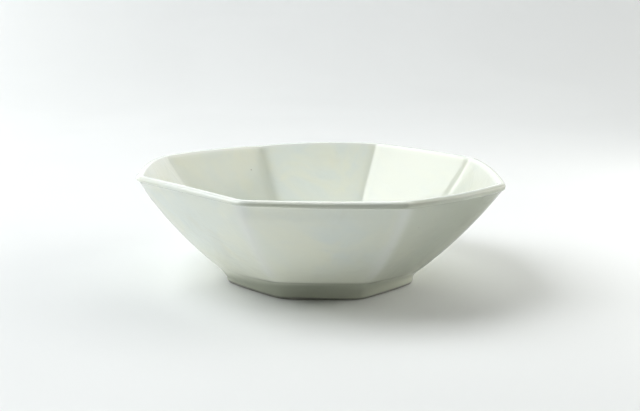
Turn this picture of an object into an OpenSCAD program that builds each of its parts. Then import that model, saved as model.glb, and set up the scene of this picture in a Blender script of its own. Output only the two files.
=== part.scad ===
// Eight-sided porcelain bowl on a luted foot ring, glazed inside and out.
// Units are millimetres. The origin is the middle of the foot, on the table,
// +Z is up, and one flat side of the bowl faces -Y.
//
// Every horizontal slice of the bowl is a regular octagon. A profile is a list
// of [apothem, height] points, where the apothem is the distance from the axis
// to the middle of a flat side, so a profile is the bowl cut through its sides.

/* [Bowl] */
// Width of the rim across two opposite flat sides
rim_flats = 187; // [150:0.5:240]
// Height from the table to the top of the lip
height = 59.5; // [50:0.5:80]
// Thickness of a side wall, with its glaze
wall = 4.2; // [3.2:0.1:6]
// Thickness of the floor, with its glaze
floor_t = 4.9; // [4:0.1:7]
// How far the middle of a wall bows out from a straight line
wall_bow = 2; // [0.5:0.1:5]
// Radius where a wall turns into the floor inside
floor_round = 7; // [3:0.5:12]

/* [Lip] */
// Height of the trimmed face under the lip
lip_h = 3.6; // [2.5:0.1:5]
// How far the trimmed face leans out at its top
lip_lean = 0.9; // [0:0.1:2]
// Radius over the outer edge of the lip
lip_outer_r = 1.6; // [0.8:0.1:2]
// Radius over the inner edge of the lip
lip_inner_r = 1.1; // [0.6:0.1:1.2]

/* [Foot] */
// Width of the foot across two opposite flat sides, on the table
foot_flats = 100; // [80:1:110]
// Height of the foot ring, up to the underside of the bowl
foot_h = 9; // [6:0.5:12]
// Thickness of the foot ring, with its glaze
foot_w = 6; // [4:0.5:10]
// How far the outer side of the foot leans out at its top
foot_lean = 0.8; // [0:0.1:2]
// How far the wall overhangs the foot where they meet
foot_overhang = 3.9; // [2:0.1:6]
// Height at which the outer luting coil ends on the foot
luting_low = 3.5; // [2:0.1:4]
// Leg of the inner luting coil, on the ring and on the underside
inner_luting = 3; // [1.5:0.5:4.5]

/* [Glaze] */
// Thickness of the glaze coat
glaze_t = 0.4; // [0.2:0.1:0.5]
// Height of the bare band wiped clean at the bottom of the foot
bare_h = 1.2; // [0.8:0.1:1.8]
// Sponged chamfer on the bottom edges of the foot
foot_chamfer = 0.6; // [0.2:0.1:0.7]

/* [Hidden] */

porcelain = [0.87, 0.87, 0.83];
luting_clay = [0.82, 0.82, 0.77];
white_glaze = [0.92, 0.93, 0.9];

SIDES = 8;
// How far a cutting solid reaches past the face that it cuts
past = 1;
// Thickness of a luting coil at its thin edges
feather = 0.15;
// Least height of the cove's corner above its lower end
cove_min = 0.5;
// Straight pieces in a wall, and in each small round
wall_steps = 10;
round_steps = 5;

// The wall is an arc between two points of the cut: the bottom edge of the
// shell and the line under the lip. Its middle point bows out by wall_bow.
wall_foot = [foot_flats / 2 + foot_lean + foot_overhang, foot_h];
wall_head = [rim_flats / 2 - lip_lean, height - lip_h];
chord = wall_head - wall_foot;
wall_r = (pow(norm(chord) / 2, 2) + pow(wall_bow, 2)) / (2 * wall_bow);
inward = [-chord.y, chord.x] / norm(chord);
wall_centre = (wall_foot + wall_head) / 2 + (wall_r - wall_bow) * inward;

floor_z = foot_h + floor_t;

// Apothem of the wall at height z, at a depth below the outer glaze
function wall_at(z, depth) =
    wall_centre.x + sqrt(pow(wall_r - depth, 2) - pow(z - wall_centre.y, 2));

// Points of a small round: angles in degrees, anticlockwise from +X
function arc(centre, r, from, to, steps) =
    [for (i = [0 : steps]) centre + r * [cos(from + (to - from) * i / steps),
                                         sin(from + (to - from) * i / steps)]];

// Points on a curve that leaves a for b and always bends towards corner k
function blend(a, k, b) =
    [for (i = [0 : round_steps]) let (t = i / round_steps)
        (1 - t) * (1 - t) * a + 2 * t * (1 - t) * k + t * t * b];

// Outer side of the lip, at a depth below the glaze
function lip_outside(depth) =
    arc([rim_flats / 2 - lip_outer_r, height - lip_outer_r], lip_outer_r - depth,
        0, 90, round_steps);

// Outer side of the shell, from its underside to the lip
function shell_outside(depth) = concat(
    [for (i = [0 : wall_steps]) let (z = foot_h + (wall_head.y - foot_h) * i / wall_steps)
        [wall_at(z, depth), z]],
    lip_outside(depth));

// Outer side of the foot at height z, at a depth below the glaze
function foot_at(z, depth) = foot_flats / 2 + foot_lean * z / foot_h - depth;

// The hollow cove between the foot and the wall. Its corner is on the side of
// the foot, about where the wall would run into it at the wall's own slope.
wall_slope = (wall_centre.y - wall_foot.y) / (wall_foot.x - wall_centre.x);
function cove(depth) =
    let (low = [foot_at(luting_low, depth) + feather, luting_low],
         high = [wall_at(foot_h, depth), foot_h],
         run_out = foot_h - (high.x - low.x) * wall_slope,
         corner_z = max(luting_low + cove_min, run_out))
    blend(low, [foot_at(corner_z, depth), corner_z], high);

// Outer side of the whole bowl, from the bare band of the foot to the lip
function whole_outside(depth) =
    let (shell = shell_outside(depth))
    concat([[foot_at(bare_h, depth), bare_h], [foot_at(luting_low, depth), luting_low]],
           cove(depth),
           [for (i = [1 : len(shell) - 1]) shell[i]]);

// The hollow inside: floor, round, wall, then the inner edge of the lip.
// A depth above 0 is under the glaze, so it makes the hollow larger.
floor_round_z = floor_z + floor_round;
floor_round_a = wall_centre.x + sqrt(pow(wall_r - wall - floor_round, 2)
                                     - pow(floor_round_z - wall_centre.y, 2));
floor_round_end = atan2(floor_round_z - wall_centre.y, floor_round_a - wall_centre.x);
lip_round_z = height - lip_inner_r;
lip_round_a = wall_centre.x + sqrt(pow(wall_r - wall + lip_inner_r, 2)
                                   - pow(lip_round_z - wall_centre.y, 2));
lip_round_end = atan2(wall_centre.y - lip_round_z, wall_centre.x - lip_round_a);
function hollow(depth) =
    let (low = arc([floor_round_a, floor_round_z], floor_round + depth,
                   -90, floor_round_end, round_steps),
         high = arc([lip_round_a, lip_round_z], lip_inner_r - depth,
                    lip_round_end, 90, round_steps),
         z0 = low[round_steps].y,
         z1 = high[0].y)
    concat(low,
           [for (i = [1 : wall_steps - 1]) let (z = z0 + (z1 - z0) * i / wall_steps)
               [wall_at(z, wall - depth), z]],
           high);

// The recess under the bowl, inside the foot ring, from a start height up
recess_a = foot_flats / 2 - foot_w;
function recess(start, depth) =
    let (a = recess_a + depth, top = foot_h - glaze_t + depth, leg = inner_luting)
    concat([[a, start], [a, top - leg]],
           blend([a - feather, top - leg], [a - leg / 4, top - leg / 4],
                 [a - leg, top - feather]),
           [[a - leg - feather, top]]);

// The octagonal solid whose sides follow a profile that climbs from its first
// point to its last: four bands, 45 degrees apart, share exactly that solid.
module eight_sided(profile) {
    mirrored = [for (i = [len(profile) - 1 : -1 : 0]) [-profile[i].x, profile[i].y]];
    reach = 2 * max([for (p = profile) p.x]);
    intersection_for (i = [0 : SIDES / 2 - 1])
        rotate([90, 0, i * 360 / SIDES])
            linear_extrude(height = 2 * reach, center = true)
                polygon(concat(profile, mirrored));
}

// A profile carried on straight up or down, for a solid that cuts
function raised(profile) = concat(profile, [profile[len(profile) - 1] + [0, past]]);
function lowered(profile) = concat([profile[0] - [0, past]], profile);

// The pressed bowl: a floor, eight walls and the trimmed lip, in bare porcelain
module bowl_shell() {
    color(porcelain)
        difference() {
            eight_sided(shell_outside(glaze_t));
            eight_sided(raised(hollow(glaze_t)));
        }
}

// The eight-sided ring that the bowl stands on
module foot_ring() {
    low_out = foot_at(foot_chamfer, glaze_t);
    low_in = recess_a + glaze_t;
    color(porcelain)
        difference() {
            eight_sided([[low_out - foot_chamfer, 0], [low_out, foot_chamfer],
                         [foot_at(foot_h, glaze_t), foot_h]]);
            eight_sided([[low_in + foot_chamfer + past, -past], [low_in, foot_chamfer],
                         [low_in, foot_h + past]]);
        }
}

// Soft clay worked into the outer corner between the ring and the bowl
module outer_luting_coil() {
    color(luting_clay)
        difference() {
            eight_sided(cove(glaze_t));
            eight_sided([[foot_at(luting_low - past, glaze_t), luting_low - past],
                         [foot_at(foot_h + past, glaze_t), foot_h + past]]);
        }
}

// Soft clay worked into the inner corner between the ring and the bowl
module inner_luting_coil() {
    color(luting_clay)
        difference() {
            eight_sided([[recess_a + glaze_t, foot_h - inner_luting],
                         [recess_a + glaze_t, foot_h]]);
            eight_sided(raised(recess(foot_h - inner_luting - past, glaze_t)));
        }
}

// The coat poured round the inside, up to the top of the lip
module inside_glaze() {
    color(white_glaze)
        difference() {
            eight_sided(hollow(glaze_t));
            eight_sided(raised(hollow(0)));
        }
}

// The coat on the outside, from the bare band of the foot up over the lip
module outside_glaze() {
    color(white_glaze)
        difference() {
            eight_sided(whole_outside(0));
            eight_sided(lowered(whole_outside(glaze_t)));
            eight_sided(raised(hollow(0)));
        }
}

// The coat in the recess, inside the foot ring
module underside_glaze() {
    color(white_glaze)
        difference() {
            eight_sided(recess(bare_h, glaze_t));
            eight_sided(lowered(recess(bare_h, 0)));
        }
}

bowl_shell();
foot_ring();
outer_luting_coil();
inner_luting_coil();
inside_glaze();
outside_glaze();
underside_glaze();
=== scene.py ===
# %% [markdown]
# # An eight-sided porcelain bowl
#
# This lesson builds the looks of a glazed bowl around a finished design. The
# design gives the sizes; this script gives what a hand leaves on the clay:
# soft ridges, walls that bulge a little, a lip that isn't quite level, and a
# thick white glaze. Everything is in metres, the bowl stands on z = 0, and one
# of its flat sides faces the camera, towards -Y.
#
# We start by loading the design as a fixed frame.

# %% Load the design
import math

import bmesh
import bpy
from mathutils import Matrix, Vector, noise


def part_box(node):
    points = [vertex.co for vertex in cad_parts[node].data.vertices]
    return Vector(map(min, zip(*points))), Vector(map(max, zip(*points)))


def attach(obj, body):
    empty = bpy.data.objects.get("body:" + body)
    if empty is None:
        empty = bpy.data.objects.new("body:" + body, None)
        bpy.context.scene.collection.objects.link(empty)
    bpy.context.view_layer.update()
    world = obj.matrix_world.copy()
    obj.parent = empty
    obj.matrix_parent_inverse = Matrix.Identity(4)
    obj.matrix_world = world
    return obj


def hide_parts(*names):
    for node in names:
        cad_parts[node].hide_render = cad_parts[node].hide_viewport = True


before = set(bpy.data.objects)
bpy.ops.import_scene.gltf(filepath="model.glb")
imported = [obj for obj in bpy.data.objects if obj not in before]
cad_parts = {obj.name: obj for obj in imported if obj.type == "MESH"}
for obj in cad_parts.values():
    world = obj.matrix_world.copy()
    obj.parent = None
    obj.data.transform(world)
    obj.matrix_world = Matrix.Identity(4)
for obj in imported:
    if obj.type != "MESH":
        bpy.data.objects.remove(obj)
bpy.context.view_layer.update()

# %% [markdown]
# ## The sizes
#
# A bowl like this is described by its cut: a line that climbs from the foot to
# the lip. Most of its sizes can be read from the boxes of the design's parts,
# so the looks follow the design if it changes. The few that no box shows, such
# as the thickness of a wall, are given here.

# %% Read the sizes from the design
MM = 0.001
SIDES = 8


def lowest(node):
    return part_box(node)[0]


def highest(node):
    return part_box(node)[1]


lip_top = highest("outside_glaze").z
rim = highest("outside_glaze").x
glaze = lip_top - highest("bowl_shell").z
foot_top = lowest("bowl_shell").z
foot_side = highest("foot_ring").x + glaze
bare_top = lowest("outside_glaze").z
coil_low = lowest("outer_luting_coil").z
recess = highest("underside_glaze").x - glaze
coil_leg = foot_top - lowest("inner_luting_coil").z
floor_top = lowest("inside_glaze").z + glaze

wall = 4.2 * MM
wall_bow = 2 * MM
wall_foot = foot_side + 3.9 * MM
foot_lean = 0.8 * MM
foot_chamfer = 0.6 * MM
lip_h = 3.6 * MM
lip_lean = 0.9 * MM
lip_outer_r = 1.6 * MM
lip_inner_r = 1.1 * MM
floor_round = 7 * MM
print(f"rim {2000 * rim:.1f} mm wide, lip {1000 * lip_top:.1f} mm high, glaze {1000 * glaze:.2f} mm")

# %% [markdown]
# ## Going round the bowl
#
# Every piece goes round the same eight ridges, so one number can say where we
# are: `turn` is 0 at the first ridge, 1 at the next one anticlockwise, and so
# on up to 8. Side 1, the one that faces the camera, lies between ridges 1 and 2.
#
# Straight octagons look like machine work. A hand-pressed wall bulges a little
# between its ridges, and the ridges are rounded. A vertical cylinder with eight
# flats could be beveled to get there, but then the amount can't change on the
# way up. Instead, we work out how far each of the eight sides lies from the
# axis in a direction, and take a soft minimum of those distances. A high power
# gives a crisp ridge and a low one gives a round ridge.

# %% Find the outline of one slice
STEP = 2 * math.pi / SIDES
FIRST_RIDGE = math.radians(-157.5)
# The power of the soft minimum: how it follows from the ridge's radius, and its limits
POWER_PER_RATIO = 8.4
SHARPEST = 900
SOFTEST = 20
NEARLY_FLAT = 1e-9


def mix(a, b, t):
    return a + (b - a) * t


def smooth(t):
    t = min(max(t, 0.0), 1.0)
    return t * t * (3 - 2 * t)


def along_side(turn):
    """Where a turn lies on its side: the side, and -1 at its first ridge to 1 at its next."""
    side = int(math.floor(turn)) % SIDES
    return side, 2 * (turn - math.floor(turn)) - 1


def side_distance(angle, apothem, bulge):
    """Distance from the axis to one bulging side, at an angle from its middle."""
    half_side = (apothem - bulge) * math.tan(STEP / 2)
    bend = bulge / max(half_side, MM) ** 2 * math.sin(angle) ** 2
    if bend < NEARLY_FLAT:
        return apothem / math.cos(angle)
    return (math.sqrt(math.cos(angle) ** 2 + 4 * bend * apothem) - math.cos(angle)) / (2 * bend)


def slice_radius(turn, apothem, bulge, ridge_r):
    """Distance from the axis to the outline of a slice, with its ridges rounded."""
    angle = along_side(turn)[1] * STEP / 2
    power = min(max(POWER_PER_RATIO * apothem / ridge_r, SOFTEST), SHARPEST)
    near = side_distance(angle, apothem, bulge)
    total = 1.0
    for other in (angle - STEP, angle + STEP):
        total += (near / side_distance(other, apothem, bulge)) ** power
    return near * total ** (-1 / power)


print("a ridge rounded by 7 mm loses",
      round(1000 * (rim / math.cos(STEP / 2) - slice_radius(0, rim, 0, 7 * MM)), 2), "mm")

# %% [markdown]
# ## What the hand did
#
# A pressed bowl leaves its mould a little soft. Some corners of the rim sag or
# lift by a millimetre, and the edges between them arch. The same could be done
# by pulling at a finished mesh, but then nobody can read or change the amounts.
# These few numbers, one for each ridge or side, say it as a potter would: this
# corner is low, that edge is high. The lifts fade to nothing at the foot, which
# has to stand flat.

# %% Give the ridges and sides their small faults
ridge_lift = [v * MM for v in (1.05, -0.3, -0.1, -1.15, 0.3, 0.8, -1.55, -0.7)]
ridge_push = [v * MM for v in (0.6, -0.3, -0.2, 0.9, -0.9, 0.0, 0.0, 0.4)]
side_arch = [v * MM for v in (0.75, -0.05, -0.5, 0.8, 0.2, 1.1, 0.6, 0.8)]
# How far the foot sits off the middle of the rim
foot_shift = 0.4 * MM
# How far the middle of a side stands out from its ends
rim_bulge = 2 * MM
foot_bulge = 1 * MM
# Half of a bulge stands outside the design's flat side, and half inside.
out_share = 0.5
# How much rounder than usual each ridge is
ridge_soft = [1.8, 1.0, 1.0, 1.6, 2.2, 0.9, 1.5, 0.9]
# The part of a half side, next to the ridge, where the values of two sides blend
side_blend = 0.15


def between_ridges(values, turn):
    side, across = along_side(turn)
    return mix(values[side], values[(side + 1) % SIDES], (across + 1) / 2)


def by_side(values, turn):
    """The value of the side at a turn, blended with its neighbour's only close to a ridge."""
    side, across = along_side(turn)
    other = values[(side + (1 if across > 0 else -1)) % SIDES]
    return mix(values[side], other, 0.5 * smooth((abs(across) - (1 - side_blend)) / side_blend))


def rise(z):
    """0 at the top of the foot and 1 at the lip."""
    return min(max((z - foot_top) / (lip_top - foot_top), 0.0), 1.0)


def place(turn, apothem, z, ridge_r):
    """The point of the bowl at a turn, for an apothem and a height of the design."""
    side, across = along_side(turn)
    up = rise(z)
    bulge = mix(foot_bulge, rim_bulge, up) * min(apothem / foot_side, 1.0)
    soft_r = ridge_r * mix(1, between_ridges(ridge_soft, turn), up * up)
    radius = 0.0
    if apothem > 0:
        radius = slice_radius(turn, apothem + out_share * bulge, bulge, soft_r)
    arch = 1 - across * across
    radius += up * up * between_ridges(ridge_push, turn)
    lift = between_ridges(ridge_lift, turn) + side_arch[side] * arch
    angle = FIRST_RIDGE + turn * STEP
    aside = foot_shift * (1 - up)
    return Vector((radius * math.cos(angle) + aside, radius * math.sin(angle), z + up * up * lift))


print("corner of the rim in mm:", [round(1000 * v, 1) for v in place(2, rim, lip_top, 3 * MM)])

# %% [markdown]
# ## The cut of the bowl
#
# The cut is a list of stations from the foot to the middle of the floor. Each
# station holds an apothem, a height and the radius of the ridge there: soft on
# the outside, crisp on the inside where the mould pressed. The same functions
# with a depth give the porcelain under the glaze, so a coat and the clay below
# it can't cross.
#
# First the wall. It could be a straight line, but the mould was a little round,
# so it is an arc through the foot and the lip that bows out in the middle.

# %% Describe the wall
wall_head = Vector((rim - lip_lean, lip_top - lip_h))
wall_low = Vector((wall_foot, foot_top))
chord = wall_head - wall_low
wall_r = ((chord.length / 2) ** 2 + wall_bow ** 2) / (2 * wall_bow)
inward = Vector((-chord.y, chord.x)).normalized()
wall_centre = (wall_head + wall_low) / 2 + inward * (wall_r - wall_bow)


def wall_at(z, depth):
    return wall_centre.x + math.sqrt((wall_r - depth) ** 2 - (z - wall_centre.y) ** 2)


def round_off(centre, r, start, end, rows):
    """Stations on a small round; the angles are in degrees from +X, anticlockwise."""
    points = []
    for i in range(rows + 1):
        angle = math.radians(mix(start, end, i / rows))
        points.append((centre[0] + r * math.cos(angle), centre[1] + r * math.sin(angle)))
    return points


def foot_at(z, depth):
    return foot_side - foot_lean * (1 - z / foot_top) - depth


print(f"the wall is an arc of {1000 * wall_r:.0f} mm radius")

# %% [markdown]
# Between the foot and the wall lies a cove, where a finger smoothed the soft
# clay. A fillet of one radius would be too regular: here the clay fills it, and
# there the wall stands over it like a ledge. So it is a curve with two ends and
# a corner that pulls it, and the corner's place changes from ridge to ridge.

# %% Describe the cove
COVE_ROWS = 12
# How far the line under the wall lies above the design's, at each ridge
junction_lift = [v * MM for v in (-0.8, 2.1, 1.9, -0.6, -0.6, 0.2, 0.2, -0.6)]
# How deep the cove is cut: 0 is a soft hollow and 1 is a square ledge
cove_cut = [0.25, 0.8, 0.7, 0.4, 0.4, 0.5, 0.5, 0.4]
# How far clay fills the cove: at 1 the wall runs straight down into the foot
cove_fill = [0.75, 0.0, 0.0, 0.1, 0.1, 0.2, 0.2, 0.4]
lowest_cove = 2.5 * MM
# The corner of the cove lies this far above its lower end, or this far under the wall
soft_corner, ledge_corner = 0.5 * MM, 0.8 * MM


def junction(turn):
    return foot_top + between_ridges(junction_lift, turn)


def cove_low(turn):
    return mix(coil_low, lowest_cove, between_ridges(cove_fill, turn))


def cove(turn, depth):
    """Stations from the side of the foot, under the wall, to where the wall starts."""
    top, start = junction(turn), cove_low(turn)
    low = Vector((foot_at(start, depth), start))
    high = Vector((wall_at(top, depth), top))
    slope = (wall_centre.y - top) / (high.x - wall_centre.x)
    soft_z = max(top - (high.x - low.x) * slope, start + soft_corner)
    corner_z = mix(soft_z, top - ledge_corner, between_ridges(cove_cut, turn))
    corner = Vector((foot_at(corner_z, depth), corner_z))
    corner = corner.lerp((low + high) / 2, between_ridges(cove_fill, turn))
    points = []
    for i in range(COVE_ROWS + 1):
        t = i / COVE_ROWS
        p = low * (1 - t) ** 2 + corner * 2 * t * (1 - t) + high * t * t
        points.append((p.x, p.y))
    return points


print("the cove starts between", [round(1000 * cove_low(ridge), 2) for ridge in (0, 1)], "mm up")

# %% [markdown]
# Now the outer side goes up the wall and over the lip. The lip was trimmed with
# a knife, so its face stands a hair proud of the wall, with a small bead along
# its lower edge that is crisp at some ridges and worn at others. It could be cut
# in with a boolean, but a step this small is cleaner as a few more stations.

# %% Describe the outside and the lip
outer_ridge_r = 5.5 * MM
lip_ridge_r = 3 * MM
# The wall draws back by this much under the lip, over this height
lip_step = 0.2 * MM
lip_fade = 8 * MM
# The trimmed lower edge of the lip: a small bead, from this angle up to the lip's face
crisp_bead_r, worn_bead_r = 0.7 * MM, 1.7 * MM
bead_start = -70
bead_inset = 0.1 * MM
bead_ridge = 0.4
BEAD_ROWS = 6
# How crisp the trimmed lower edge of the lip is at each ridge
lip_crisp = [0.2, 0.5, 1.0, 0.4, 0.8, 0.7, 0.6, 0.3]
# How far the trimmed lower edge of the lip lies above the design's, at each ridge
lip_trim = [v * MM for v in (0.5, 1.1, 0.3, -0.2, 0.2, 0.4, 0.4, 0.6)]
# How far the wall runs outwards for each step up, just under the lip
wall_lean = 0.85
WALL_ROWS = 30
ROUND_ROWS = 9


def outside(turn, depth):
    """Stations from the top of the cove over the outer half of the lip."""
    top = junction(turn)
    rows = []
    trim = between_ridges(lip_trim, turn)
    head = wall_head.y + trim
    for i in range(1, WALL_ROWS + 1):
        z = mix(top, head, i / WALL_ROWS)
        inset = (lip_step + wall_lean * trim) * smooth((z - head + lip_fade) / lip_fade)
        rows.append((wall_at(z, depth) - inset, z, outer_ridge_r))
    bead_r = mix(worn_bead_r, crisp_bead_r, between_ridges(lip_crisp, turn))
    bead = round_off((rim - bead_inset - bead_r, head + bead_r), bead_r - depth,
                     bead_start, 0, BEAD_ROWS)
    for i, (a, z) in enumerate(bead):
        rows.append((a, z, mix(outer_ridge_r, lip_ridge_r, mix(bead_ridge, 1, i / BEAD_ROWS))))
    crown = round_off((rim - lip_outer_r, lip_top - lip_outer_r), lip_outer_r - depth, 0, 90,
                      ROUND_ROWS)
    rows += [(a, z, lip_ridge_r) for a, z in crown]
    return rows


print(len(outside(1.5, 0)), "stations outside")

# %% [markdown]
# The inside comes down from the lip along the wall, turns into the floor on a
# small round, and ends at the axis. It could be the outside pushed in by the
# wall's thickness, but a pushed surface crosses itself at tight rounds. The
# rounds are placed so that they touch the wall's arc without a kink.

# %% Describe the inside
inner_ridge_r = 4 * MM
lip_round = Vector((0, lip_top - lip_inner_r))
lip_round.x = wall_centre.x + math.sqrt(
    (wall_r - wall + lip_inner_r) ** 2 - (lip_round.y - wall_centre.y) ** 2)
floor_centre = Vector((0, floor_top + floor_round))
floor_centre.x = wall_centre.x + math.sqrt(
    (wall_r - wall - floor_round) ** 2 - (floor_centre.y - wall_centre.y) ** 2)
seam = (rim - lip_outer_r + lip_round.x) / 2
FLOOR_ROWS = 14


def direction(start, end):
    return math.degrees(math.atan2(end.y - start.y, end.x - start.x))


def inside(depth):
    """Stations from the inner half of the lip, down the wall, to the middle of the floor."""
    lip = round_off(lip_round, lip_inner_r - depth, 90, direction(lip_round, wall_centre),
                    ROUND_ROWS)
    low = round_off(floor_centre, floor_round + depth, direction(wall_centre, floor_centre), -90,
                    ROUND_ROWS)
    rows = [(a, z, mix(lip_ridge_r, inner_ridge_r, i / ROUND_ROWS))
            for i, (a, z) in enumerate(lip)]
    for i in range(1, WALL_ROWS):
        z = mix(lip[-1][1], low[0][1], i / WALL_ROWS)
        rows.append((wall_at(z, wall - depth), z, inner_ridge_r))
    rows += [(a, z, inner_ridge_r) for a, z in low]
    for i in range(1, FLOOR_ROWS + 1):
        rows.append((floor_centre.x * (1 - i / FLOOR_ROWS), floor_top - depth, inner_ridge_r))
    return rows


print(len(inside(0)), "stations inside")

# %% [markdown]
# Last, the recess under the bowl: up the inner side of the ring, over the curve
# of the inner coil, and flat to the axis. It is copied plainly from the design,
# because it is seen only when the bowl is turned over.

# %% Describe the recess
BORE_ROWS = 3


def recess_roof(depth):
    """Stations inside the foot, from its bare band up over the inner coil to the axis."""
    a, top = recess + depth, foot_top - glaze + depth
    low, high = Vector((a, top - coil_leg)), Vector((a - coil_leg, top))
    corner = Vector((a - coil_leg / 4, top - coil_leg / 4))
    rows = [(a, mix(bare_top, low.y, i / BORE_ROWS), lip_ridge_r) for i in range(BORE_ROWS)]
    for i in range(ROUND_ROWS + 1):
        t = i / ROUND_ROWS
        p = low * (1 - t) ** 2 + corner * 2 * t * (1 - t) + high * t * t
        rows.append((p.x, p.y, lip_ridge_r))
    for i in range(1, FLOOR_ROWS + 1):
        rows.append((high.x * (1 - i / FLOOR_ROWS), top, lip_ridge_r))
    return rows


print(len(recess_roof(0)), "stations in the recess")

# %% [markdown]
# ## From stations to meshes
#
# A potter's wheel would turn one cut round the axis. Our cut changes on the
# way round, so we work it out again at each column and join the columns with
# quads. Evenly spaced columns would be too few at the ridges and too many
# between them. So the columns crowd together towards each ridge, where the
# surface bends, and are wide apart on the flats.

# %% Place the columns
HALF_COLUMNS = 14
# How strongly the columns crowd towards a ridge: 1 is evenly spaced
crowd = 2.4
half = [(i / HALF_COLUMNS) ** crowd / 2 for i in range(HALF_COLUMNS + 1)]
turns = [side + t for side in range(SIDES) for t in half + [1 - t for t in reversed(half[1:-1])]]
print(len(turns), "columns go round the bowl")

# %% [markdown]
# A wall that was pressed and sponged by hand is never quite even, and a gloss
# shows it. A bump would bend the shine but not the outline. So each point moves
# in or out by up to about a tenth of a millimetre, by a smooth noise that
# depends on its place, which keeps the coats and the clay together.

# %% Make the wall uneven
# The unevenness left by hands and sponge: its height, and how many waves fit in a metre.
# Smaller waves lie on top of the wide ones, and all of it starts above the foot's band.
handling = 0.1 * MM
handling_rate = 22
finer, finer_share = 2.7, 0.5
handling_fade = 3 * MM


def touch(point, z):
    """The slight unevenness of a wall that was pressed and sponged by hand."""
    strength = handling * smooth((z - bare_top) / handling_fade)
    out = Vector((point.x, point.y, 0))
    if out.length < MM:
        return point
    wave = noise.noise(point * handling_rate)
    wave += finer_share * noise.noise(point * handling_rate * finer)
    return point + out.normalized() * wave * strength


print("a point of the lip in mm:", [round(1000 * v, 2) for v in touch(place(2, rim, lip_top, MM), lip_top)])

# %% [markdown]
# Each piece becomes one mesh. The columns could be revolved by a modifier, but
# it would turn one fixed cut. A coat of glaze is a thin solid with a front and a
# back, so its list of stations runs out along one and home along the other.
#
# Two numbers are written on the points as we go: the first is where the glaze
# runs together and lies thick, and also where shade is painted into its colour,
# and `thin` is where it runs off an edge.

# %% Make one mesh that goes round the bowl
SHARP_FROM = math.radians(40)
ON_AXIS = 1e-6


def finish_edges(piece):
    """Turn all faces outwards, shade them smooth and keep only real corners sharp."""
    shape = bmesh.new()
    shape.from_mesh(piece.data)
    bmesh.ops.recalc_face_normals(shape, faces=shape.faces)
    for face in shape.faces:
        face.smooth = True
    for edge in shape.edges:
        edge.smooth = edge.is_manifold and edge.calc_face_angle() < SHARP_FROM
    shape.to_mesh(piece.data)
    shape.free()


def go_round(name, stations, closed):
    """A mesh from the list of stations at each turn. Stations on the axis become one point."""
    columns = [stations(t) for t in turns]
    rows = len(columns[0])
    points, grid, marks = [], [], []
    for j in range(rows):
        on_axis = columns[0][j][0] <= ON_AXIS
        line = []
        for i, t in enumerate(turns):
            if on_axis and i > 0:
                line.append(line[0])
                continue
            a, z, ridge_r, pool, thin = columns[i][j]
            line.append(len(points))
            points.append(touch(place(t, max(a, 0.0), z, ridge_r), z))
            marks.append((pool, thin))
        grid.append(line)
    faces = []
    for j in range(rows if closed else rows - 1):
        here, there = grid[j], grid[(j + 1) % rows]
        for i in range(len(turns)):
            k = (i + 1) % len(turns)
            corners = list(dict.fromkeys((here[i], here[k], there[k], there[i])))
            if len(corners) > 2:
                faces.append(corners)
    mesh = bpy.data.meshes.new(name)
    mesh.from_pydata(points, [], faces)
    for mark, column in (("pool", 0), ("thin", 1)):
        layer = mesh.attributes.new(mark, "FLOAT", "POINT")
        layer.data.foreach_set("value", [m[column] for m in marks])
    mesh.validate()
    piece = bpy.data.objects.new(name, mesh)
    bpy.context.scene.collection.objects.link(piece)
    finish_edges(piece)
    print(f"{name}: {len(points)} points, {len(faces)} faces")
    return piece


print("edges stay sharp from", round(math.degrees(SHARP_FROM)), "degrees")

# %% [markdown]
# ## The porcelain body
#
# Under its glaze the bowl is one fired body, but it was put together from
# four: a pressed bowl, a foot ring, and two coils of soft clay that were worked
# into the corners between them. They could be one mesh. They stay apart here
# because that is how the bowl was made, and because only the bottom of the
# foot ring is seen bare.

# %% Press the bowl
foot_ridge_r = 6 * MM


def near_ridge(turn, apothem, width):
    """1 on a ridge, falling to 0 a few widths away from it."""
    across = along_side(turn)[1]
    gap = apothem * math.tan(STEP / 2) * (1 - abs(across))
    return math.exp(-(gap / width) ** 2)


def plain(rows):
    """Stations of bare clay, where no glaze pools or runs thin."""
    return [(a, z, r, 0.0, 0.0) for a, z, r in rows]


def shell_stations(turn):
    top = junction(turn)
    rows = [(0.0, foot_top, foot_ridge_r),
            (foot_at(foot_top, glaze), foot_top, foot_ridge_r),
            (wall_at(top, glaze), top, foot_ridge_r)]
    rows += outside(turn, glaze) + [(seam, lip_top - glaze, lip_ridge_r)] + inside(glaze)
    return plain(rows)


bowl_shell = go_round("bowl_shell_body", shell_stations, closed=False)

# %% [markdown]
# The foot ring is the part that the bowl stands on: a strip of clay, bent round
# and stuck on when the bowl was half dry. It could be an octagonal prism with a
# hole, but its edges would have to be beveled, and its side would be straight.
# So it goes round like the bowl, with a closed cut: heel, side, bore and toe. A
# wet sponge has rounded its outer edge, the heel, more than its inner edge.

# %% Make the foot ring
RING_ROWS = 4
heel_r = 1.1 * MM


def ring_stations(turn):
    inner, outer = recess + glaze, foot_at(heel_r, glaze)
    heel = round_off((outer - heel_r, heel_r), heel_r, -90, 0, RING_ROWS)
    toe = round_off((inner + foot_chamfer, foot_chamfer), foot_chamfer, 180, 270, RING_ROWS)
    heights = [mix(heel_r, foot_top, i / RING_ROWS) for i in range(1, RING_ROWS + 1)]
    side = [(foot_at(z, glaze), z) for z in heights]
    bore = [(inner, mix(foot_top, foot_chamfer, i / RING_ROWS)) for i in range(RING_ROWS)]
    return plain([(a, z, foot_ridge_r) for a, z in heel + side + bore + toe])


foot_ring = go_round("foot_ring_body", ring_stations, closed=True)

# %% [markdown]
# A coil is a thin roll of soft clay. The potter presses one into the corner
# under the wall and one into the corner of the recess, so that the ring can't
# come off, and a finger leaves each as a hollow cove. A bevel on the joint would
# be quicker, but the cove is deep at some ridges and filled at others, so each
# coil is a solid of its own: a curve in front, with its back against the ring.

# %% Work the two coils into the corners
coil_back = 0.1 * MM


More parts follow.
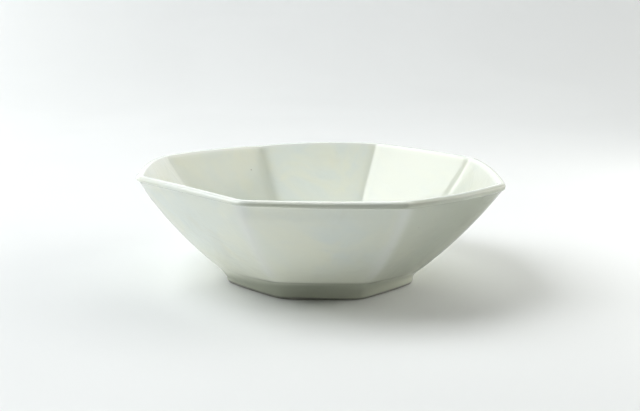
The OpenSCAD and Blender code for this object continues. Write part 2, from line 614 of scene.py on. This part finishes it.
def outer_coil_stations(turn):
    rows = cove(turn, glaze)
    rows += [(foot_at(foot_top, glaze), min(foot_top, junction(turn)) - coil_back),
             (foot_at(cove_low(turn), glaze) - coil_back, cove_low(turn))]
    return plain([(a, z, foot_ridge_r) for a, z in rows])


def inner_coil_stations(turn):
    curve = recess_roof(glaze)[BORE_ROWS:BORE_ROWS + ROUND_ROWS + 1]
    return plain(curve + [(recess + glaze, foot_top, lip_ridge_r)])


outer_coil = go_round("outer_coil_body", outer_coil_stations, closed=True)
inner_coil = go_round("inner_coil_body", inner_coil_stations, closed=True)

# %% [markdown]
# ## The glaze
#
# The inside was poured and the outside dipped, so the glaze is laid on as three
# coats: inside, outside, and the recess under the foot. Each is a thin solid.
# They meet along the flat top of the lip, where both have the same slope and no
# line shows. The foot is wiped clean up to a height, and there the glaze ends in
# a soft roll.
#
# Glaze runs thin over a ridge or an edge and lies thick in a crease or a cove.
# A material could guess this from the curvature, but we know where each point
# lies on the cut, so we write both amounts on the points. The amount that makes
# the glaze darker also carries painted shade: in the creases, on the foot under
# the wall, on the lip's face, and on each side by an amount of its own.

# %% Pour the inside
crease_w = 4 * MM
# How much glaze gathers, with painted shade, in the inside corner at each ridge
crease_pool = [0.1, 0.0, 0.0, 0.1, 0.05, 0.06, 0.22, 0.0]
# How much shade is painted on each side, and how far the glaze has run off
inside_pool = [0.2, 0.25, 0.27, 0.45, 0.42, 0.08, 0.38, 0.1]
inside_thin = [0.0, 0.0, 0.0, 0.4, 0.3, 0.0, 0.0, 0.9]
floor_pool = 0.2
# In the round corner of the floor it lies this thick, and up to this far from it
corner_pool = 0.35
pool_reach = 9 * MM
lip_wipe = 2.5 * MM


def inside_marks(turn, a, z):
    """Pooled glaze and painted shade, and how thin the glaze is, at a point of the inside."""
    low = smooth(1 - (z - floor_top) / pool_reach)
    low *= smooth((a - floor_centre.x + pool_reach) / pool_reach)
    crease = near_ridge(turn, a, crease_w) * smooth((a - floor_centre.x) / crease_w)
    lip = smooth((z - lip_top + lip_wipe) / lip_wipe)
    up_wall = smooth((z - floor_top) / (2 * pool_reach))
    # Painted shade on each side and in the creases, on top of the pooled glaze
    pooled_and_shaded = mix(floor_pool, by_side(inside_pool, turn), up_wall)
    pooled_and_shaded += between_ridges(crease_pool, turn) * crease
    thin = max(lip, by_side(inside_thin, turn) * up_wall)
    return max(corner_pool * low, pooled_and_shaded) * (1 - lip), thin


def inside_stations(turn):
    front = [(seam, lip_top, lip_ridge_r)] + inside(0)
    back = [(seam, lip_top - glaze, lip_ridge_r)] + inside(glaze)
    marked = [(a, z, r, *inside_marks(turn, a, z)) for a, z, r in front]
    return marked + plain(reversed(back))


inside_glaze = go_round("inside_glaze_coat", inside_stations, closed=True)

# %% [markdown]
# For the outside, a potter holds the bowl by its foot and dips it. Some glaze
# runs back down as the bowl is turned up again and lies thick on the foot, but
# the darker tone on the foot, on the lip's face and on the right-hand walls is
# mostly painted shade, where the foot stands under the wall, the face turns
# down and those walls face away from the light. Instead of one shade over the
# whole bowl, the amounts below can be read and changed one by one. The glaze
# ends in a roll, above the wiped band.

# %% Dip the outside
roll_h = 0.5 * MM
# The wiped edge of the glaze goes up and down in a slow wave and a quick one
slow_wave, quick_wave = 0.2 * MM, 0.12 * MM
slow_turns, quick_turns = 3, 7
ROLL_ROWS = 4
FOOT_ROWS = 4


def glaze_line(turn):
    """The height where the glaze stops on the foot, wiped by hand and so a little uneven."""
    swing = 2 * math.pi * turn / SIDES
    waves = slow_wave * math.sin(slow_turns * swing)
    return bare_top + waves + quick_wave * math.sin(quick_turns * swing + 1)


# How dark the glaze is at each ridge, on the foot and on the wall: thick glaze and painted shade
foot_pool = [0.78, 0.93, 0.78, 0.58, 0.3, 0.4, 0.5, 0.8]
wall_pool = [0.0, 0.0, 0.28, 0.95, 0.4, 0.15, 0.1, 0.05]
# Painted shade that comes on top of that on each side's wall
side_pool = [0.0, 0.0, 0.2, 0.0, 0.0, 0.0, 0.0, 0.0]
# On the lip, for each side: how much painted shade lies on its face,
# and how much of the top stays free of it
lip_pool = [0.05, 0.66, 0.72, 0.6, 0.4, 0.4, 0.4, 0.2]
lip_unshaded_top = [0.8, 0.6, 0.0, 0.3, 1.0, 1.0, 1.0, 1.0]
# The height over which the thick glaze and painted shade on the foot fade out upwards
pool_fade = [v * MM for v in (8, 5, 3.5, 3, 4, 4, 5, 7)]
above_junction = 1 * MM
# The lip's face starts within this height, and its top, free of painted shade, this far below the lip
face_start = 0.3 * MM
unshaded_from, unshaded_h = 1.3 * MM, 1.1 * MM
# Along a ridge the glaze runs thin by this much, over this width, from a fifth of the way up
ridge_thin = 0.9
ridge_w = 3.5 * MM
ridge_start = 5


def outside_marks(turn, a, z):
    """Pooled glaze and painted shade, and how thin the glaze is, at a point of the outside."""
    # The lip's face is darkened by painted shade, and its top is kept free of it
    face = smooth((z - wall_head.y - between_ridges(lip_trim, turn)) / face_start)
    edge = smooth((z - lip_top + unshaded_from) / unshaded_h) * by_side(lip_unshaded_top, turn)
    # The foot and the right-hand walls are darkened by painted shade over some pooled glaze
    foot = smooth((junction(turn) + above_junction - z) / between_ridges(pool_fade, turn))
    wall_amount = between_ridges(wall_pool, turn) + by_side(side_pool, turn)
    pool = mix(wall_amount, between_ridges(foot_pool, turn), foot)
    pool = mix(pool, by_side(lip_pool, turn) * (1 - edge), face)
    ridge = near_ridge(turn, a, ridge_w) * smooth(rise(z) * ridge_start)
    return pool, max(edge, ridge_thin * ridge * (1 - face))


def outside_stations(turn):
    line = glaze_line(turn)
    front = []
    for i in range(ROLL_ROWS + 1):
        angle = math.radians(mix(-90, 0, i / ROLL_ROWS))
        z = line + roll_h * (1 + math.sin(angle))
        front.append((foot_at(z, glaze) + glaze * math.cos(angle), z, foot_ridge_r))
    for i in range(1, FOOT_ROWS):
        z = mix(line + roll_h, cove_low(turn), i / FOOT_ROWS)
        front.append((foot_at(z, 0), z, foot_ridge_r))
    front += [(a, z, foot_ridge_r) for a, z in cove(turn, 0)]
    front += outside(turn, 0) + [(seam, lip_top, lip_ridge_r)]
    back = [(a, z, foot_ridge_r) for a, z in cove(turn, glaze)]
    back += outside(turn, glaze) + [(seam, lip_top - glaze, lip_ridge_r)]
    marked = [(a, z, r, *outside_marks(turn, a, z)) for a, z, r in front]
    return marked + plain(reversed(back))


outside_glaze = go_round("outside_glaze_coat", outside_stations, closed=True)

# %% [markdown]
# The recess under the bowl fills with glaze in the same dip, and the wiped band
# is its end too. Nobody looks there often, so its cut is the plain one of the
# design. It could be left out, but a bowl that is turned over in a picture would
# then show raw clay.

# %% Coat the recess under the foot
band_shift = 3


def underside_stations(turn):
    line = glaze_line(turn + band_shift)
    front = [(recess + glaze, line, lip_ridge_r),
             (recess + 0.4 * glaze, line + 0.2 * roll_h, lip_ridge_r),
             (recess, line + roll_h, lip_ridge_r)]
    front += recess_roof(0)[BORE_ROWS:]
    marked = []
    for a, z, r in front:
        corner = smooth((z - foot_top + 2 * coil_leg) / coil_leg)
        corner *= smooth((a - recess + 3 * coil_leg) / coil_leg)
        marked.append((a, z, r, corner_pool * corner, 0.0))
    return marked + plain(reversed(recess_roof(glaze)[BORE_ROWS:]))


underside_glaze = go_round("underside_glaze_coat", underside_stations, closed=True)

# %% [markdown]
# ## Say what each piece stands for
#
# Each mesh rides on the bowl's one body, stands for one part of the design, and
# takes its finish from one of the design's materials. Three calls for each piece
# could be written out, but a table shows at a glance that none is left out.

# %% Tie the pieces to the design
made = {"bowl_shell": (bowl_shell, "porcelain"), "foot_ring": (foot_ring, "porcelain"),
        "outer_luting_coil": (outer_coil, "luting_clay"),
        "inner_luting_coil": (inner_coil, "luting_clay"),
        "inside_glaze": (inside_glaze, "white_glaze"),
        "outside_glaze": (outside_glaze, "white_glaze"),
        "underside_glaze": (underside_glaze, "white_glaze")}
for node, (piece, slot) in made.items():
    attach(piece, "root")
    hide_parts(node)
    print(node, "is shown by", piece.name)

# %% [markdown]
# ## Effects that the materials share
#
# Fired clay and glaze show the same few things at different strengths: clouds
# of slightly different colour, slanting streaks, a fine grain, and pinholes
# where gas came out in the kiln. Each could be drawn again in every material,
# but then a change has to be made in many places. So each is a node group with
# its own inputs, built once. They work on the place of a point in the bowl, so
# no unwrapping is needed.
#
# First comes a small helper, because adding and linking nodes by hand takes
# many lines that all look the same.

# %% A helper for node groups


class Nodes:
    """Adds nodes to a tree from left to right and links them with short calls."""

    def __init__(self, tree):
        self.tree = tree
        self.count = 0

    def add(self, kind, links=None, **settings):
        node = self.tree.nodes.new(kind)
        node.location = (220 * self.count, 0)
        self.count += 1
        for name, value in settings.items():
            setattr(node, name, value)
        for name, value in (links or {}).items():
            socket = node.inputs[name]
            if isinstance(value, bpy.types.NodeSocket):
                self.tree.links.new(value, socket)
            else:
                socket.default_value = value
        return node

    def math(self, operation, a, b=0.0):
        return self.add("ShaderNodeMath", {0: a, 1: b}, operation=operation).outputs[0]

    def blend(self, amount, a, b):
        node = self.add("ShaderNodeMix", {0: amount, 6: a, 7: b}, data_type="RGBA")
        return node.outputs[2]

    def ramp(self, value, low, high):
        """0 below low and 1 above high, with a smooth rise between them."""
        node = self.add("ShaderNodeMapRange", {"Value": value, "From Min": low, "From Max": high},
                        interpolation_type="SMOOTHSTEP", clamp=True)
        return node.outputs["Result"]

    def object_place(self):
        """The place of a point in its own piece, in metres."""
        return self.add("ShaderNodeTexCoord").outputs["Object"]


def new_group(name, inputs, outputs):
    """An empty shader group with float inputs and outputs, and its input and output nodes."""
    tree = bpy.data.node_groups.new(name, "ShaderNodeTree")
    for label, value in inputs.items():
        socket = tree.interface.new_socket(label, in_out="INPUT", socket_type="NodeSocketFloat")
        socket.default_value = value
    for label in outputs:
        tree.interface.new_socket(label, in_out="OUTPUT", socket_type="NodeSocketFloat")
    make = Nodes(tree)
    return tree, make, make.add("NodeGroupInput"), tree.nodes.new("NodeGroupOutput")


print("the helper can:", [name for name in vars(Nodes) if not name.startswith("_")])

# %% [markdown]
# A glaze has broad, faint clouds where it melted a little differently. They
# could be painted, but a soft noise holds from all sides and at any distance.
# The middle part of its values is stretched to full contrast.

# %% Clouds


def build_clouds():
    tree, make, given, result = new_group(
        "clouds", {"Scale": 30.0, "Low": 0.35, "High": 0.65}, ["Cloud"])
    wide = make.add("ShaderNodeTexNoise", {
        "Vector": make.object_place(), "Scale": given.outputs["Scale"],
        "Detail": 3.0, "Roughness": 0.55, "Distortion": 0.6})
    soft = make.ramp(wide.outputs["Fac"], given.outputs["Low"], given.outputs["High"])
    tree.links.new(soft, result.inputs["Cloud"])
    return tree


clouds = build_clouds()
print("shared effect:", clouds.name)

# %% [markdown]
# Where the glaze ran and was wiped it leaves slanting streaks. A wave pattern
# would be too regular, so this is the same noise again, tilted first and then
# pulled out along one direction.

# %% Streaks
streak_tilt = math.radians(-42)
streak_low, streak_high = 0.36, 0.64


def build_streaks():
    """Slanting washes, left where the glaze ran and was wiped."""
    tree, make, given, result = new_group("streaks", {"Along": 15.0, "Across": 60.0}, ["Streak"])
    slant = make.add("ShaderNodeVectorRotate", {"Vector": make.object_place(), "Angle": streak_tilt},
                     rotation_type="Y_AXIS")
    along, across = given.outputs["Along"], given.outputs["Across"]
    frequency = make.add("ShaderNodeCombineXYZ", {"X": along, "Y": along, "Z": across})
    stretched = make.add("ShaderNodeVectorMath", {0: slant.outputs[0], 1: frequency.outputs[0]},
                         operation="MULTIPLY")
    run = make.add("ShaderNodeTexNoise", {
        "Vector": stretched.outputs[0], "Scale": 1.0,
        "Detail": 3.0, "Roughness": 0.5, "Distortion": 0.4})
    streak = make.ramp(run.outputs["Fac"], streak_low, streak_high)
    tree.links.new(streak, result.inputs["Streak"])
    return tree


streaks = build_streaks()
print("shared effect:", streaks.name)

# %% [markdown]
# Bare clay has a fine tooth, and a glaze a slow waviness like orange peel. Real
# bumps in the mesh would need far too many faces, so one noise gives a height
# for both, at a scale that each material chooses.

# %% Grain


def build_grain():
    tree, make, given, result = new_group("grain", {"Scale": 900.0}, ["Height"])
    fine = make.add("ShaderNodeTexNoise", {
        "Vector": make.object_place(), "Scale": given.outputs["Scale"],
        "Detail": 4.0, "Roughness": 0.6})
    tree.links.new(fine.outputs["Fac"], result.inputs["Height"])
    return tree


grain = build_grain()
print("shared effect:", grain.name)

# %% [markdown]
# A pinhole is where a bubble broke and didn't heal. Holes scattered by hand
# would have to be placed on every wall. A Voronoi pattern scatters cells by
# itself, so each hole is a small disc in the middle of a few chosen cells.

# %% Pinholes
# A hole is full inside this part of its radius, and fades out towards its rim
hole_core = 0.4
SMALLEST_HOLE = 0.001


def build_pinholes():
    tree, make, given, result = new_group(
        "pinholes", {"Scale": 120.0, "Size": 0.06, "Share": 0.1}, ["Hole"])
    cells = make.add("ShaderNodeTexVoronoi", {
        "Vector": make.object_place(), "Scale": given.outputs["Scale"]})
    chosen = make.add("ShaderNodeSeparateColor", {"Color": cells.outputs["Color"]})
    rare = make.math("LESS_THAN", chosen.outputs["Red"], given.outputs["Share"])
    size = make.math("MULTIPLY", chosen.outputs["Green"], given.outputs["Size"])
    depth = make.math("DIVIDE", cells.outputs["Distance"], make.math("ADD", size, SMALLEST_HOLE))
    round_hole = make.ramp(depth, 1.0, hole_core)
    tree.links.new(make.math("MULTIPLY", round_hole, rare), result.inputs["Hole"])
    return tree


pinholes = build_pinholes()
print("shared effect:", pinholes.name)

# %% [markdown]
# ## The finishes
#
# Every finish starts in the same way: a material with one surface shader. The
# file could repeat those lines for each, but then the finishes would be hard to
# compare. So one helper starts a material and another places a shared effect
# in it with its own values.

# %% Start a material


def new_material(name):
    """A material with only a surface shader and its output; returns the helper for its nodes too."""
    material = bpy.data.materials.new(name)
    material.use_nodes = True
    tree = material.node_tree
    tree.nodes.clear()
    make = Nodes(tree)
    shader = tree.nodes.new("ShaderNodeBsdfPrincipled")
    output = tree.nodes.new("ShaderNodeOutputMaterial")
    shader.location, output.location = (2600, 0), (2900, 0)
    tree.links.new(shader.outputs["BSDF"], output.inputs["Surface"])
    return material, make, shader


def use_group(make, group, **values):
    node = make.add("ShaderNodeGroup", node_tree=group)
    for name, value in values.items():
        node.inputs[name].default_value = value
    return node


print("a material starts with a", bpy.types.ShaderNodeBsdfPrincipled.bl_rna.name)

# %% [markdown]
# Glaze is a layer of glass over white clay. A glass shader over a clay mesh
# would be slow to light and would look almost the same, so the glaze is one
# opaque gloss surface whose colour already holds the clay below it. The life is
# in its variation: a dark green-grey where it pools, which also paints shade on
# the foot, the lip's face, the creases and the sides away from the light, a
# plain white where it is thin, faint cool clouds and streaks on the wall, a few
# ochre patches where there was iron in the clay, a slow waviness, and pinholes
# here and there.

# %% The white glaze
glaze_white = (0.895, 0.915, 0.785, 1.0)
glaze_cloud = (0.825, 0.88, 0.83, 1.0)
# The colour of thick glaze, also used as painted shade
glaze_pool = (0.41, 0.44, 0.35, 1.0)
glaze_thin = (0.86, 0.88, 0.85, 1.0)
glaze_ochre = (0.74, 0.72, 0.58, 1.0)
pit_colour = (0.30, 0.28, 0.22, 1.0)
# How strongly each of them shows
cloud_part, streak_part = 1.1, 0.9
cool_strength, ochre_strength, thin_strength, pit_strength = 0.5, 0.18, 0.6, 0.75
# Clouds and streaks begin above the foot, and are full at the upper of these heights
cool_low, cool_full = 8 * MM, 32 * MM
glaze_rough, wash_rough, pit_rough = 0.05, 0.04, 0.4
peel_height, wash_height = 0.25, 1.5


def make_glaze():
    material, make, shader = new_material("white_glaze")
    link = make.tree.links.new
    pool = make.add("ShaderNodeAttribute", attribute_name="pool").outputs["Fac"]
    thin = make.add("ShaderNodeAttribute", attribute_name="thin").outputs["Fac"]
    cloud = use_group(make, clouds, Scale=26.0, Low=0.42, High=0.6).outputs["Cloud"]
    wash = use_group(make, clouds, Scale=75.0).outputs["Cloud"]
    runs = use_group(make, streaks, Along=14.0, Across=55.0).outputs["Streak"]
    iron = use_group(make, clouds, Scale=33.0, Low=0.58, High=0.72).outputs["Cloud"]
    pits = use_group(make, pinholes, Scale=95.0, Size=0.07, Share=0.3).outputs["Hole"]
    peel = use_group(make, grain, Scale=420.0).outputs["Height"]
    spot = make.add("ShaderNodeSeparateXYZ", {"Vector": make.object_place()})
    higher = make.math("MULTIPLY", make.ramp(spot.outputs["Z"], cool_low, cool_full), cool_strength)
    patches = make.math("ADD", make.math("MULTIPLY", cloud, cloud_part),
                        make.math("MULTIPLY", runs, streak_part))
    colour = make.blend(make.math("MULTIPLY", patches, higher), glaze_white, glaze_cloud)
    colour = make.blend(make.math("MULTIPLY", iron, ochre_strength), colour, glaze_ochre)
    # Thick glaze and painted shade darken the colour here
    colour = make.blend(pool, colour, glaze_pool)
    colour = make.blend(make.math("MULTIPLY", thin, thin_strength), colour, glaze_thin)
    colour = make.blend(make.math("MULTIPLY", pits, pit_strength), colour, pit_colour)
    link(colour, shader.inputs["Base Color"])
    gloss = make.math("ADD", make.math("MULTIPLY", wash, wash_rough), glaze_rough)
    link(make.math("ADD", gloss, make.math("MULTIPLY", pits, pit_rough)), shader.inputs["Roughness"])
    waves = make.math("ADD", make.math("MULTIPLY", peel, peel_height),
                      make.math("MULTIPLY", wash, wash_height))
    height = make.math("SUBTRACT", waves, pits)
    bump = make.add("ShaderNodeBump", {"Height": height, "Strength": 0.25, "Distance": 0.0002})
    link(bump.outputs["Normal"], shader.inputs["Normal"])
    shader.inputs["IOR"].default_value = 1.45
    return material


glaze_finish = make_glaze()
print("the glaze takes", len(glaze_finish.node_tree.nodes), "nodes")

# %% [markdown]
# Bare porcelain shows only in the wiped band at the bottom of the foot. It is
# matt, with a fine tooth, and greyed by the tables that it has stood on, so a
# plain white would look like paint. Its dark grey is also painted shadow, where
# the foot meets the floor. The clay of the coils is the same body, mixed wetter.
# One function makes both, with different colours and grain.

# %% The bare porcelain and the luting clay
# Grey from use and painted contact shadow where the foot meets the floor
bare_grey_and_shadow = (0.36, 0.36, 0.32, 1.0)
bare_grey_and_shadow_dark = (0.30, 0.30, 0.26, 1.0)
luting_white = (0.70, 0.68, 0.61, 1.0)
luting_shade = (0.58, 0.55, 0.47, 1.0)
clay_rough, tooth_rough = 0.6, 0.25
clay_pits = 0.6


def make_clay(name, light, dark, grain_scale, bump_distance):
    """Fired, unglazed porcelain: matt, faintly toned, with a fine tooth."""
    material, make, shader = new_material(name)
    link = make.tree.links.new
    cloud = use_group(make, clouds, Scale=60.0).outputs["Cloud"]
    tooth = use_group(make, grain, Scale=grain_scale).outputs["Height"]
    pits = use_group(make, pinholes, Scale=260.0, Size=0.14, Share=0.22).outputs["Hole"]
    colour = make.blend(cloud, light, dark)
    colour = make.blend(make.math("MULTIPLY", pits, clay_pits), colour, pit_colour)
    link(colour, shader.inputs["Base Color"])
    rough = make.math("ADD", make.math("MULTIPLY", tooth, tooth_rough), clay_rough)
    link(rough, shader.inputs["Roughness"])
    height = make.math("SUBTRACT", tooth, pits)
    bump = make.add("ShaderNodeBump", {"Height": height, "Strength": 0.5, "Distance": bump_distance})
    link(bump.outputs["Normal"], shader.inputs["Normal"])
    return material


finishes = {"white_glaze": glaze_finish,
            "porcelain": make_clay("bare_porcelain", bare_grey_and_shadow, bare_grey_and_shadow_dark, 1500.0, 0.00015),
            "luting_clay": make_clay("luting_clay", luting_white, luting_shade, 700.0, 0.0003)}
for piece, slot in made.values():
    piece.data.materials.append(finishes[slot])
print("finishes:", sorted(finishes))

# %% [markdown]
# ## The floor and the light
#
# The bowl stands on a plain pale sweep: a floor that curves up into a backdrop,
# so there is no horizon. A flat floor with a wall would show a line behind the
# bowl. The lights fade out away from the middle. Farther out, the paint
# glows faintly for the camera alone, so that the bowl has a pale background
# from its other sides too and yet gets no light from there.

# %% The sweep
sweep_half = 6.0
sweep_front, sweep_back = -5.0, 1.6
sweep_r = 0.9
sweep_top = 2.4
SWEEP_ROWS = 16
paint_light = (0.795, 0.81, 0.805, 1.0)
paint_shade = (0.78, 0.795, 0.79, 1.0)
# The glow starts this far to the sides and to the front, and is full a little farther out
glow_side, glow_front, glow_fade = 0.9, -0.5, 1.1
glow_strength = 0.85
glow_colour = (0.97, 1.0, 0.985, 1.0)


def sweep_mesh():
    line = [(sweep_front, 0.0), (sweep_back - sweep_r, 0.0)]
    for i in range(1, SWEEP_ROWS + 1):
        angle = math.radians(-90 + 90 * i / SWEEP_ROWS)
        line.append((sweep_back - sweep_r + sweep_r * math.cos(angle),
                     sweep_r * (1 + math.sin(angle))))
    line.append((sweep_back, sweep_top))
    points = [(x, y, z) for y, z in line for x in (-sweep_half, sweep_half)]
    faces = [(2 * i, 2 * i + 1, 2 * i + 3, 2 * i + 2) for i in range(len(line) - 1)]
    mesh = bpy.data.meshes.new("sweep")
    mesh.from_pydata(points, [], faces)
    mesh.shade_smooth()
    return mesh


def sweep_paint():
    material, make, shader = new_material("sweep_paint")
    link = make.tree.links.new
    cloud = use_group(make, clouds, Scale=3.0).outputs["Cloud"]
    link(make.blend(cloud, paint_light, paint_shade), shader.inputs["Base Color"])
    shader.inputs["Roughness"].default_value = 0.85
    spot = make.add("ShaderNodeSeparateXYZ", {"Vector": make.object_place()})
    aside = make.math("SUBTRACT", make.math("ABSOLUTE", spot.outputs["X"]), glow_side)
    ahead = make.math("SUBTRACT", glow_front, spot.outputs["Y"])
    far = make.ramp(make.math("MAXIMUM", aside, ahead), 0.0, glow_fade)
    seen = make.add("ShaderNodeLightPath").outputs["Is Camera Ray"]
    glow = make.math("MULTIPLY", far, make.math("MULTIPLY", seen, glow_strength))
    link(glow, shader.inputs["Emission Strength"])
    shader.inputs["Emission Color"].default_value = glow_colour
    return material


sweep = bpy.data.objects.new("sweep", sweep_mesh())
bpy.context.scene.collection.objects.link(sweep)
sweep.data.materials.append(sweep_paint())
print("the sweep's box in metres:", [round(v, 2) for v in sweep.dimensions])

# %% [markdown]
# A large soft light stands at the left, high up, as a window would. It shines
# on the inside of the far right wall and throws the soft shadow to the right. A
# single light would leave the sides in front too dark, because a real room sends
# light back from all its walls. We could close the scene in a white box, but
# weak cards round the bowl are faster and each can be set on its own. The two
# near cards at the right stand for something pale beside the bowl, which sends
# light back into the shadow.

# %% The lights
lit_point = Vector((0, 0, 30 * MM))


def soft_light(name, azimuth, climb, distance, width, height, watts, colour):
    """A rectangle of light that faces the bowl. Its azimuth is 0 at the right and 90 behind."""
    data = bpy.data.lights.new(name, "AREA")
    data.shape = "RECTANGLE"
    data.size, data.size_y = width, height
    data.energy = watts
    data.color = colour
    lamp = bpy.data.objects.new(name, data)
    turn_by, climb_by = math.radians(azimuth), math.radians(climb)
    out = Vector((math.cos(turn_by) * math.cos(climb_by), math.sin(turn_by) * math.cos(climb_by),
                  math.sin(climb_by)))
    lamp.location = lit_point + distance * out
    lamp.rotation_euler = (-out).to_track_quat("-Z", "Y").to_euler()
    lamp.visible_camera = False
    bpy.context.scene.collection.objects.link(lamp)


cool, warm = (0.96, 0.98, 1.0), (1.0, 0.985, 0.94)
neutral = (0.985, 1.0, 0.985)
# Each light: direction round the bowl, climb, distance, width, height, watts and colour
studio = {"window": (180, 50, 1.5, 1.0, 1.3, 20.9, cool),
          "second_window": (188, 54, 1.5, 0.9, 1.1, 2.6, cool),
          "right_card": (30, 20, 1.5, 1.4, 0.9, 3.2, warm),
          "right_high_card": (0, 30, 1.5, 1.2, 0.9, 5.0, warm),
          "near_right_card": (15, 12, 0.55, 0.35, 0.15, 0.6, warm),
          "near_high_card": (0, 40, 0.6, 0.4, 0.4, 0.5, warm),
          "back_right_card": (60, 60, 1.5, 1.0, 1.0, 4.4, neutral),
          "back_left_card": (135, 12, 1.5, 1.0, 0.6, 4.2, neutral),
          "front_left_card": (225, 15, 1.5, 0.9, 0.7, 2.1, warm),
          "back_card": (90, 14, 1.4, 1.6, 0.7, 2.6, cool)}
for name, light in studio.items():
    soft_light(name, *light)

print("lights:", {name: f"{light[5]} W" for name, light in studio.items()})

# %% [markdown]
# Past the sweep there is only the world. A grey world would light the bowl from
# everywhere and wash out its shadow, and a black one would look like a hole
# where a low view sees past the sweep. So this world is pale to look at and
# gives no light.

# %% The room past the sweep
world = bpy.data.worlds.new("room")
world.use_nodes = True
room = Nodes(world.node_tree)
pale = world.node_tree.nodes["Background"]
pale.inputs["Color"].default_value = (0.80, 0.83, 0.81, 1.0)
seen = room.add("ShaderNodeLightPath").outputs["Is Camera Ray"]
room.tree.links.new(seen, pale.inputs["Strength"])
bpy.context.scene.world = world
bpy.context.scene.view_settings.view_transform = "Standard"
print("world:", world.name, "with the view transform",
      bpy.context.scene.view_settings.view_transform)

# %% [markdown]
# ## The camera
#
# A low view from in front, 12 degrees above the table and half a metre away,
# with a lens a little longer than normal. It is tilted by under a degree, as a
# camera held in the hand is. It could be aimed with a constraint at the bowl,
# but a plain matrix stays put and shows what each number does.

# %% Place the camera
camera_azimuth = math.radians(-0.883)
camera_height = math.radians(11.889)
camera_distance = 0.50995
camera_aside = 0.00015
camera_up = 0.03738
camera_roll = math.radians(0.759)
lens_mm = 51.53

back = Vector((math.sin(camera_azimuth) * math.cos(camera_height),
               -math.cos(camera_azimuth) * math.cos(camera_height), math.sin(camera_height)))
right = Vector((math.cos(camera_azimuth), math.sin(camera_azimuth), 0))
up = back.cross(right)
rolled_right = right * math.cos(camera_roll) + up * math.sin(camera_roll)
rolled_up = up * math.cos(camera_roll) - right * math.sin(camera_roll)

camera_data = bpy.data.cameras.new("camera")
camera_data.lens = lens_mm
camera_data.sensor_width = 36
camera_data.sensor_fit = "HORIZONTAL"
camera_data.clip_start = 0.01
camera = bpy.data.objects.new("camera", camera_data)
bpy.context.scene.collection.objects.link(camera)
turn_matrix = Matrix((rolled_right, rolled_up, back)).transposed()
camera.matrix_world = Matrix.Translation(
    back * camera_distance + right * camera_aside + up * camera_up) @ turn_matrix.to_4x4()
bpy.context.scene.camera = camera
print("camera at", [round(v, 4) for v in camera.matrix_world.translation])

# %% [markdown]
# ## Finish
#
# The finished bowl must fill the same box as the design, apart from the small
# faults that the hand left; looking at a picture wouldn't show a wrong scale.

# %% Bring the scene up to date
bpy.context.view_layer.update()
